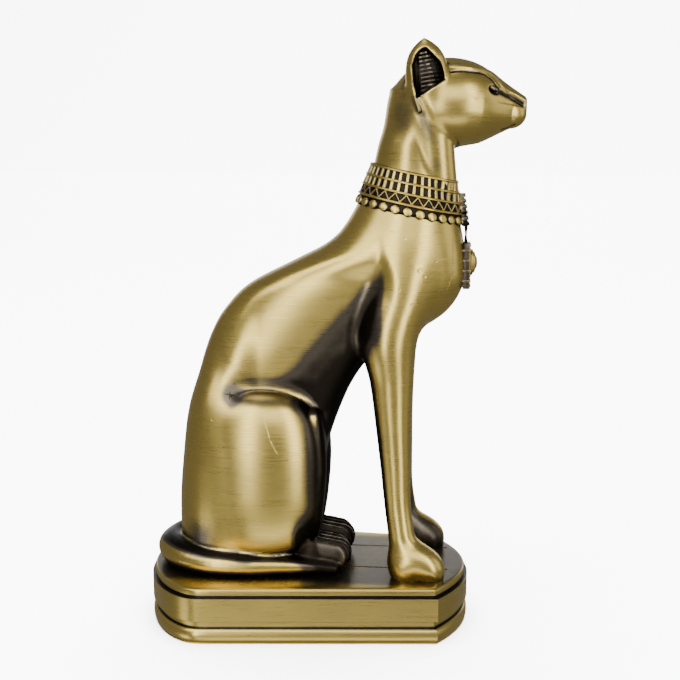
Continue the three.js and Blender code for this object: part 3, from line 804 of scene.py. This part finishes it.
def head_stain_and_shade(points):
    x, y, z = points.T
    side = np.abs(y)
    sunk, outward = hollowness(head_form, points)
    u, v, w = ear_space(x, side, z)
    in_ear = 1 - ease(0.0, 0.12, ear_room(u, v, w))
    behind_ear = 0.42 * (1 - ease(0.5, 5.2, np.hypot(x - 17.4, (z - 87) * 0.55)))
    # Painted shade darkens the throat under the jaw and the crease behind the cheek.
    shade_on_throat = 0.35 * (1 - ease(0.5, 3.0, np.hypot(x - 23.5, (z - 77.5) * 0.8)))
    shade_under_cheek = 0.42 * (1 - ease(-0.2, 1.4, chain(x + 0.9, side, z + 0.4, CHEEK)))
    lines = sum(1 - ease(0.0, 0.2, chain(x, side, z, groove))
                for groove in (BROW_GROOVE, NOSE_GROOVE, MOUTH))
    # Painted shade darkens the eye's socket, less so on the eyeball itself.
    socket_shade = 0.75 * (1 - ease(0.0, 0.5, egg(x, side, z, *EYE_SOCKET)))
    eye = socket_shade * (0.4 + 0.6 * ease(0.0, 0.2, eye_form(x, side, z)))
    soft = np.maximum(np.maximum(behind_ear, shade_on_throat), shade_under_cheek)
    return np.clip(sunk * 1.3 - 0.12 + 0.9 * in_ear + 0.5 * lines + eye + soft, 0, 1)


points, squares = skin(cut_head, ((9, 42), (-11, 11), (71.5, 101)), HEAD_STEP)
head = make_mesh("head", to_metres(points), squares)
paint(head, "stain_and_shade", head_stain_and_shade(points))
dress(head, "cat", satin)

# %% [markdown]
# Inside each ear stands one upright rib, with a ladder of fine ribs in front of it. The head's
# grid is too coarse for them. They are thin rods in the ear's own frame, laid against its inner
# wall, and bmesh is a good place to build many small boxes at once.

# %% Helpers for the ears' ribs
def from_ear(u, v, w, side):
    """A point of the ear's own frame, in shares in the scene; side is 1 or -1."""
    out, back = EAR_LEAN
    dy, up = v * math.cos(out) + w * math.sin(out), w * math.cos(out) - v * math.sin(out)
    dx, dz = u * math.cos(back) - up * math.sin(back), up * math.cos(back) + u * math.sin(back)
    return (EAR_FOOT[0] + dx, (EAR_FOOT[1] + dy) * side, EAR_FOOT[2] + dz)


def wall_of_ear(u, w):
    """How far out the inner wall lies: the hollow's far side at that place."""
    level = np.clip((w + EAR_RIM / 2) / (EAR_HEIGHT - EAR_RIM), 0, 1)
    across = np.clip(1 - level**EAR_TAPER, 0, 1) ** 2 - (u / (EAR_HALF_LENGTH - EAR_RIM)) ** 2
    return EAR_ROOM_OUT - EAR_HALF_WIDTH * math.sqrt(max(across, 0))


def add_rod(bm, start, end, width):
    """A square rod between two points in shares."""
    a, b = (Vector(to_metres([point])[0]) for point in (start, end))
    middle = Matrix.Translation((a + b) / 2) @ (b - a).to_track_quat("Z", "Y").to_matrix().to_4x4()
    size = (width * SHARE, width * SHARE, (b - a).length)
    bmesh.ops.create_cube(bm, size=1, matrix=middle @ Matrix.Diagonal((*size, 1)))


print("in the middle of an ear its wall lies at", round(wall_of_ear(0, 6), 2))

# %% [markdown]
# Each rib of the ladder ends where the ear's opening does, so its length is given with it.

# %% Make the ears' ribs
RIB_ENDS = (0.6, 2.2, 3.0, 2.9, 2.6, 2.3, 1.9, 1.4, 0.9, 0.3)
bm = bmesh.new()
for side in (1, -1):
    upright = [(-1.75, w) for w in np.linspace(2.6, 9.8, 9)]
    ribs = [[(u, w + 0.07 * (u + 1.2)) for u in np.linspace(-1.2, end, 6)]
            for w, end in zip(np.linspace(3.6, 10.2, len(RIB_ENDS)), RIB_ENDS)]
    for row, width in [(upright, 0.42)] + [(rib, 0.26) for rib in ribs]:
        places = [from_ear(u, wall_of_ear(u, w), w, side) for u, w in row]
        for start, end in zip(places, places[1:]):
            add_rod(bm, start, end, width)
ear_ribs = piece_from(bm, "ear_ribs")
paint(ear_ribs, "stain_and_shade", [0.52] * len(ear_ribs.data.vertices))
dress(ear_ribs, "cat", worked)

# %% [markdown]
# ## The collar
# The real collar is cast on the neck: four rings, two rows of bars, a row of zigzags and a row of
# round beads. Hundreds of small objects could be placed round a curve. A single sheet wrapped
# round the neck is lighter, and its relief is a height over the sheet. A place on it is an angle
# round the neck and a height between its bottom edge (0) and its top edge (1).

# %% The collar's sizes
COLLAR_TOP = ((11.1, 77.7), (27.1, 74.4))
COLLAR_BOTTOM = ((8.2, 70.6), (28.5, 67.1))
NECK_BREADTH = 0.83
RING_PROUD, RING_WIDTH = 0.8, 0.8
RING_HEIGHTS = (1.0, 0.743, 0.486, 0.229)
BAR_COUNT, ZIGZAG_COUNT, BEAD_COUNT = 38, 27, 26
BEAD_HEIGHT, BEAD_RADIUS = 0.06, 1.2


def middle_of(ends):
    return (np.array(ends[0]) + np.array(ends[1])) / 2


def half_length_of(ends):
    return np.linalg.norm(np.array(ends[1]) - np.array(ends[0])) / 2


SLOPE = np.array(COLLAR_TOP[1]) - np.array(COLLAR_TOP[0])
SLOPE = SLOPE / np.linalg.norm(SLOPE)
RISE = middle_of(COLLAR_TOP) - middle_of(COLLAR_BOTTOM)
RISE_MM = np.linalg.norm(RISE) * SHARE / MM
MM_IN_SHARES = MM / SHARE
print("the collar is", round(float(RISE_MM), 1), "mm high")

# %% [markdown]
# `wrap` rolls the sheet round the slanting neck. The other helpers measure distances on it.

# %% Roll the sheet round the neck
def wrap(angle, height, proud):
    """A point in shares on the collar, `proud` millimetres out from its ground."""
    base = half_length_of(COLLAR_BOTTOM)
    radius = base + (half_length_of(COLLAR_TOP) - base) * height
    radius = radius + (proud - RING_PROUD) * MM_IN_SHARES
    along = radius * np.cos(angle)
    middle = middle_of(COLLAR_BOTTOM)
    return np.stack([middle[0] + along * SLOPE[0] + height * RISE[0],
                     radius * np.sin(angle) * NECK_BREADTH,
                     middle[1] + along * SLOPE[1] + height * RISE[1]], -1)


def dome(distance, half_width, proud):
    """The height of a round-topped ridge at a distance from its middle line."""
    return proud * np.sqrt(np.clip(1 - (distance / half_width) ** 2, 0, 1))


def around(angle, count):
    """The distance to the nearest of `count` even places round the neck, in millimetres."""
    girth = 2 * math.pi * 9.2 * 0.92 * SHARE / MM
    turn = angle / (2 * math.pi) * count
    return np.abs(turn - np.round(turn)) / count * girth


print("a bar comes every", round(360 / BAR_COUNT, 1), "degrees")

# %% [markdown]
# The relief takes the highest of all ridges at each place. Beyond the edges and between the
# beads the sheet dips into the neck, where it can't be seen.

# %% The collar's relief
def collar_relief(angle, height):
    ground = 0.12
    relief = np.full(angle.shape, ground)
    for ring in RING_HEIGHTS:
        relief = np.maximum(relief, dome((height - ring) * RISE_MM, RING_WIDTH / 2, RING_PROUD))
    for upper, lower in zip(RING_HEIGHTS[:2], RING_HEIGHTS[1:3]):
        between = (height < upper) & (height > lower)
        bar = 0.6 * (1 - ease(0.30, 0.50, around(angle, BAR_COUNT)))
        relief = np.maximum(relief, bar * between)
    upper, lower = RING_HEIGHTS[2:]
    turn = angle / (2 * math.pi) * ZIGZAG_COUNT
    wave = np.abs(turn - np.floor(turn) - 0.5) * 2
    zig = lower + (upper - lower) * (0.12 + 0.76 * wave)
    between = (height < upper) & (height > lower)
    relief = np.maximum(relief, dome((height - zig) * RISE_MM * 0.72, 0.30, 0.5) * between)
    away = np.hypot(around(angle + math.pi / BEAD_COUNT, BEAD_COUNT),
                    (height - BEAD_HEIGHT) * RISE_MM)
    bead = 0.45 * (1 - ease(0.95, 1.2, away)) + dome(away, 1.0, 0.3)
    relief = np.maximum(relief, bead)
    hidden = ease(0.02, -0.14, height) * (away > BEAD_RADIUS) + ease(1.03, 1.08, height)
    return relief - 2.2 * hidden


# %% [markdown]
# The neck isn't quite the cone that the sheet follows, so in front some of the collar would sink
# into it. The neck's form says by how much, and those points move out by that.

# %% Make the collar
angles, heights = np.meshgrid(np.linspace(0, 2 * math.pi, 760, endpoint=False),
                              np.linspace(-0.18, 1.09, 118))
relief = collar_relief(angles, heights)
points = wrap(angles, heights, relief)
on_neck = np.minimum(*(form(*np.moveaxis(points, -1, 0)) for form in (body_form, head_form)))
sunk = np.clip(relief * MM_IN_SHARES - on_neck, 0, 1.5)
outward = np.stack([np.cos(angles) * SLOPE[0], np.sin(angles), np.cos(angles) * SLOPE[1]], -1)
points = points + outward * sunk[..., None]
print("the collar moved out by up to", round(float(sunk.max()), 2), "shares")
rows, columns = angles.shape
index = np.arange(rows * columns).reshape(rows, columns)
right = np.roll(index, -1, 1)
squares = np.stack([index[:-1], right[:-1], right[1:], index[1:]], -1).reshape(-1, 4)
collar = make_mesh("collar", to_metres(points.reshape(-1, 3)), squares)
paint(collar, "stain_and_shade", (1.0 - 0.95 * ease(0.15, 0.62, relief)).ravel())
dress(collar, "cat", worked)

# %% [markdown]
# ## The ornament on the chest
# A ribbed clasp lies on the collar. Two thin rods lead from it to a ribbed plaque with a stepped
# boss. All of it is cast as one piece, so bmesh operators put boxes and flattened balls in one
# mesh. The boxes have bevelled edges, because sharp ones would catch no light.

# %% Helpers for the ornament
def turned(angle, axis, place):
    """A matrix that turns about an axis and moves to a place in shares."""
    where = Vector(to_metres([place])[0])
    return Matrix.Translation(where) @ Matrix.Rotation(angle, 4, axis)


def add_box(bm, size, matrix, bevel=0.00012):
    """A box of that size in metres with rounded edges."""
    made = bmesh.ops.create_cube(bm, size=1, matrix=matrix @ Matrix.Diagonal((*size, 1)))
    edges = list({edge for vert in made["verts"] for edge in vert.link_edges})
    bmesh.ops.bevel(bm, geom=edges, offset=bevel, segments=2, affect="EDGES", profile=0.5,
                    material=-1)


def add_ball(bm, radii, matrix):
    bmesh.ops.create_uvsphere(bm, u_segments=28, v_segments=18, radius=1,
                              matrix=matrix @ Matrix.Diagonal((*radii, 1)))


print("the clasp hangs at", tuple(round(v, 4) for v in turned(0, "Y", (28.5, 0, 69.2)).translation))

# %% [markdown]
# From top to bottom these are the clasp with its ribs, the two rods, the plaque with its ribs and
# the boss. What stands proud is polished bright, and the ground and the rods keep their stain.

# %% Make the ornament
bm = bmesh.new()
thickness = 1.4 * MM
add_box(bm, (thickness * 1.1, 3.0 * SHARE, 6.0 * SHARE), turned(-0.16, "Y", (28.5, 0, 69.2)))
for row, width in enumerate((2.6, 3.9, 3.0, 3.9, 3.2, 2.4)):
    add_box(bm, (thickness * 1.4, width * SHARE, 0.6 * SHARE),
            turned(-0.16, "Y", (28.6 - 0.16 * (row - 2.5), 0, 69.2 + 1.05 * (row - 2.5))))
for turn in (0.35, -0.35):
    add_box(bm, (0.5 * MM, 0.6 * MM, 4.6 * SHARE), turned(turn * 0.3, "Y", (29.1, 0, 64.6)))
add_box(bm, (thickness * 1.3, 4.0 * SHARE, 8.6 * SHARE), turned(0, "Y", (29.3, 0, 58.8)))
for row in range(9):
    width = (3.6, 4.6)[row % 2]
    add_box(bm, (thickness * 1.6, width * SHARE, 0.5 * SHARE),
            turned(0, "Y", (29.3, 0, 55.1 + 0.95 * row)))
for reach, size in ((0.6, 2.8), (1.0, 2.5), (1.35, 2.0), (1.6, 1.3)):
    add_ball(bm, (0.45 * SHARE, 0.72 * size * SHARE, size * SHARE),
             turned(0, "Y", (29.3 + reach, 0, 59.4)))
ornament = piece_from(bm, "ornament")
mesh = ornament.data
mesh.polygons.foreach_set("use_smooth", [True] * len(mesh.polygons))
mesh.update()
places = np.array([v.co for v in mesh.vertices]) / SHARE
rim = np.abs(places[:, 0] - 29.0) + 0.25 * np.abs(places[:, 1])
link = band(62.0, 67.2, places[:, 2] - PLINTH_TOP / SHARE, 0.2) * (rim < 1.0)
paint(ornament, "stain_and_shade", np.clip(0.75 - 0.5 * ease(0.6, 1.7, rim) + link, 0, 1))
dress(ornament, "cat", worked)

# %% [markdown]
# ## The plinth
# The plinth is straight along its sides, bowed in front and round behind. A curve with a bevel
# profile could sweep its mouldings. Repeating one outline at each step of the side, a little
# further in or out, gives the same and keeps every size in view, in millimetres.

# %% The plinth's outline
FRONT_BOW, REAR_BOW, CORNER_HALF = 7.6, 16.5, 19.89
BOTTOM_MOULDING, LOWER_GROOVE, UPPER_GROOVE, TOP_MOULDING = 4.0, 2.0, 0.5, 1.8
GROOVE_DEPTH, TOP_SETBACK = 1.0, 0.8
top_mm = PLINTH_TOP / MM


def curve(joints, count):
    """Points on a Bezier curve through 3 or 4 joints, without the last one."""
    joints = np.array(joints, float)
    t = np.linspace(0, 1, count, endpoint=False)[:, None]
    while len(joints) > 1:
        joints = [a + (b - a) * t for a, b in zip(joints, joints[1:])]
    return joints[0]


def plan(inset):
    """The outline in millimetres, seen from above, drawn in by `inset`."""
    front, rear = plinth_high.x / MM - inset, plinth_low.x / MM + inset
    side = plinth_high.y / MM
    corner = front - FRONT_BOW
    turn = rear + REAR_BOW
    front_half, rear_half = CORNER_HALF - inset, side - inset
    shoulder = (rear_half - front_half) / (corner - turn) * REAR_BOW * 0.45
    pull = turn - REAR_BOW * 0.45
    bow = 2 * front - corner
    outline = np.concatenate([
        curve([(turn, -rear_half), (corner, -front_half)], 24),
        curve([(corner, -front_half), (bow, 0), (corner, front_half)], 48),
        curve([(corner, front_half), (turn, rear_half)], 24),
        curve([(turn, rear_half), (pull, rear_half + shoulder), (rear, rear_half * 0.55),
               (rear, 0)], 32),
        curve([(rear, 0), (rear, -rear_half * 0.55), (pull, -rear_half - shoulder),
               (turn, -rear_half)], 32),
    ])
    return np.clip(outline, None, (front, rear_half)).clip((rear, -rear_half))


print("the plinth's outline has", len(plan(0)), "points")

# %% [markdown]
# From below come a round moulding, a groove, a flat band, a fine groove and a top moulding with a
# rounded edge. Rings are doubled close to an edge, which keeps the shading of flat faces flat.

# %% The steps of its side
def round_step(low, high, proud, count=9):
    """Steps (height, inset) up a rounded moulding that stands `proud` at its middle."""
    t = np.linspace(0, math.pi, count)
    middle, half = (low + high) / 2, (high - low) / 2
    return [(middle - half * math.cos(a), proud * (1 - math.sin(a) ** 0.7)) for a in t]


BAND_TOP = top_mm - TOP_MOULDING - UPPER_GROOVE
GROOVE_TOP = BOTTOM_MOULDING + LOWER_GROOVE
STEPS = (
    [(0, 0.5), (0, 0.3)] + round_step(0, BOTTOM_MOULDING, 1.0)[1:-1]
    + [(BOTTOM_MOULDING, 0.7), (BOTTOM_MOULDING, GROOVE_DEPTH),
       (BOTTOM_MOULDING + 0.7, GROOVE_DEPTH), (GROOVE_TOP - 0.6, GROOVE_DEPTH),
       (GROOVE_TOP, GROOVE_DEPTH),
       (GROOVE_TOP, 0.1), (GROOVE_TOP + 0.1, 0), (BAND_TOP - 0.1, 0), (BAND_TOP, 0.1),
       (BAND_TOP, GROOVE_DEPTH), (BAND_TOP + UPPER_GROOVE, GROOVE_DEPTH),
       (BAND_TOP + UPPER_GROOVE, TOP_SETBACK + 0.1), (BAND_TOP + UPPER_GROOVE + 0.1, TOP_SETBACK)]
    + [(top_mm - 0.7 + 0.7 * math.sin(a), TOP_SETBACK + 0.7 - 0.7 * math.cos(a))
       for a in np.linspace(0, math.pi / 2, 6)]
)
print("the plinth's side has", len(STEPS), "steps")

# %% [markdown]
# Neighbouring rings are joined by squares, and the last ones are closed with one face each.

# %% Make the plinth
rings = [np.column_stack([plan(inset), np.full(len(plan(inset)), height)])
         for height, inset in STEPS]
points = np.concatenate(rings) * MM
count = len(rings[0])
index = np.arange(len(points)).reshape(len(rings), count)
right = np.roll(index, -1, 1)
faces = np.stack([index[:-1], right[:-1], right[1:], index[1:]], -1).reshape(-1, 4).tolist()
faces += [index[0][::-1].tolist(), index[-1].tolist()]
plinth = make_mesh("plinth_fine", points, faces)
print("the plinth has", len(faces), "faces before its top is cut")

# %% [markdown]
# Two fine lines on top look like the joints between planks. Two thin boxes cut them out with a
# boolean modifier, so they are real grooves. The cutter is removed afterwards.

# %% Cut the plank lines
PLANK_SIDES, TAIL_REACH = (0.59, -0.34), 16.725
PLANK_LINE = (0.0725, 0.0006, 0.0009)
bm = bmesh.new()
for side in PLANK_SIDES:
    place = Matrix.Translation((0, side * TAIL_REACH * MM, PLINTH_TOP))
    bmesh.ops.create_cube(bm, size=1, matrix=place @ Matrix.Diagonal((*PLANK_LINE, 1)))
cutter = piece_from(bm, "plank_lines")
cut = plinth.modifiers.new("plank lines", "BOOLEAN")
cut.object, cut.solver = cutter, "EXACT"
bpy.context.view_layer.objects.active = plinth
bpy.ops.object.modifier_apply(modifier=cut.name)
bpy.data.objects.remove(cutter)
print("the plinth has", len(plinth.data.polygons), "faces now")

# %% [markdown]
# The top is one big face, and the stain is stored on points, so the top needs points of its own.
# Then the grooves and the middle of the top are stained, and the top's long edges are left worn.

# %% Stain the plinth
bm = bmesh.new()
bm.from_mesh(plinth.data)
bmesh.ops.triangulate(bm, faces=[f for f in bm.faces if len(f.verts) > 4])
bmesh.ops.subdivide_edges(bm, edges=[e for e in bm.edges if e.calc_length() > 0.004
                                     and min(v.co.z for v in e.verts) > PLINTH_TOP - 0.0001],
                          cuts=8, use_grid_fill=True)
bm.to_mesh(plinth.data)
bm.free()
plinth.data.polygons.foreach_set("use_smooth", [True] * len(plinth.data.polygons))
plinth.data.set_sharp_from_angle(angle=math.radians(28))
places = np.array([v.co for v in plinth.data.vertices]) / MM
height = places[:, 2]
in_groove = sum(band(level - 0.05, level + 0.05, height, 0.02)
                for level in (BOTTOM_MOULDING, GROOVE_TOP, BAND_TOP, BAND_TOP + UPPER_GROOVE))
on_top = ease(top_mm - 0.2, top_mm - 0.05, height)
worn = ease(16.0, 19.5, np.abs(places[:, 1]))
paint(plinth, "stain_and_shade", np.clip(0.75 * in_groove + (0.46 - 0.36 * worn) * on_top, 0, 1))
dress(plinth, "plinth", satin)

# %% [markdown]
# ## Floor, light and camera
# Small products are photographed on a pale sheet that curves up into a backdrop, so no horizon
# shows. A flat floor with a bright world behind it could do, but would leave an edge. The sheet
# stays out of the metal's reflections, because it would fill every dark hollow with white.

# %% The floor
def sweep(name, half_width, near, far, height, bend):
    """A floor that bends up into a wall behind the object."""
    profile = [(near, 0.0)]
    profile += [(far - bend + bend * math.sin(a), bend - bend * math.cos(a))
                for a in np.linspace(0, math.pi / 2, 16)]
    profile.append((far, height))
    points = [(x, y, z) for y, z in profile for x in (-half_width, half_width)]
    faces = [(2 * i, 2 * i + 1, 2 * i + 3, 2 * i + 2) for i in range(len(profile) - 1)]
    return make_mesh(name, points, faces)


floor = sweep("floor", half_width=3.0, near=-3.0, far=1.6, height=2.5, bend=0.8)
paper = bpy.data.materials.new("white paper")
paper.use_nodes = True
paper.node_tree.nodes["Principled BSDF"].inputs["Base Color"].default_value = (0.9, 0.9, 0.9, 1)
paper.node_tree.nodes["Principled BSDF"].inputs["Roughness"].default_value = 0.7
floor.data.materials.append(paper)
floor.visible_glossy = False
floor.visible_shadow = False
print("the floor has", len(floor.data.polygons), "faces")

# %% [markdown]
# Metal shows little but its surroundings, so the lights are shaped for their reflections: two tall
# strips leave the long highlights down the haunch, the neck and the legs, low cards light the
# undersides, boxes from above the back, and a large wash lights the floor alone. Each row gives
# place, size and brightness, and every light but the wash points at the middle of the figurine.

# %% The lights
MIDDLE = (0.0, 0.0, 0.075)


def area_light(name, place, target, size, brightness, in_metal=True):
    """A soft box. Its brightness is what a mirror would show, whatever its size."""
    data = bpy.data.lights.new(name, "AREA")
    data.shape, data.size, data.size_y = "RECTANGLE", size[0], size[1]
    data.energy = brightness * math.pi * size[0] * size[1]
    light = bpy.data.objects.new(name, data)
    light.location = place
    light.rotation_euler = (Vector(target) - Vector(place)).to_track_quat("-Z", "Y").to_euler()
    light.visible_glossy = in_metal
    bpy.context.scene.collection.objects.link(light)


LIGHTS = [
    ("key strip", (-0.25, -0.97, 0.30), (0.24, 1.25), 6.0),
    ("right strip", (0.66, -0.75, 0.30), (0.28, 1.25), 5.5),
    ("low card", (0.15, -0.80, -0.62), (0.90, 0.25), 2.0),
    ("low left card", (-0.75, -0.50, -0.55), (0.45, 0.35), 2.0),
    ("right card", (1.00, -0.10, 0.25), (0.50, 0.80), 1.0),
    ("high middle box", (0.20, -0.90, 0.55), (0.50, 0.50), 2.6),
    ("high left box", (-0.50, -0.60, 0.62), (0.50, 0.50), 3.4),
    ("top sheet", (-0.1, -0.1, 1.2), (0.45, 0.45), 2.0),
    ("back card", (0.0, 1.1, 0.22), (1.8, 0.45), 1.5),
]
for name, place, size, brightness in LIGHTS:
    area_light(name, place, MIDDLE, size, brightness)
area_light("floor wash", (0.0, 0.2, 1.7), (0.0, 0.4, 0.0), (2.0, 2.0), 34.0, in_metal=False)
print(len(LIGHTS) + 1, "lights")

# %% [markdown]
# A grey world fills what no light reaches. The camera stands about 29 cm in front of the figurine
# and looks slightly down on it. Its place was fitted to the photo.

# %% World and camera
world = bpy.data.worlds.new("studio")
bpy.context.scene.world = world
world.use_nodes = True
world.node_tree.nodes["Background"].inputs["Color"].default_value = (0.8, 0.8, 0.8, 1)
world.node_tree.nodes["Background"].inputs["Strength"].default_value = 0.27

TILT_DOWN, TURN = 10.81, 4.87
camera_data = bpy.data.cameras.new("camera")
camera_data.lens, camera_data.sensor_width = 60.43, 36
camera_data.clip_start = 0.01
camera = bpy.data.objects.new("camera", camera_data)
camera.location = (0.0322, -0.2902, 0.1299)
camera.rotation_euler = (math.radians(90 - TILT_DOWN), 0, math.radians(TURN))
bpy.context.scene.collection.objects.link(camera)
bpy.context.scene.camera = camera
print("the camera stands at", tuple(round(v, 4) for v in camera.location))
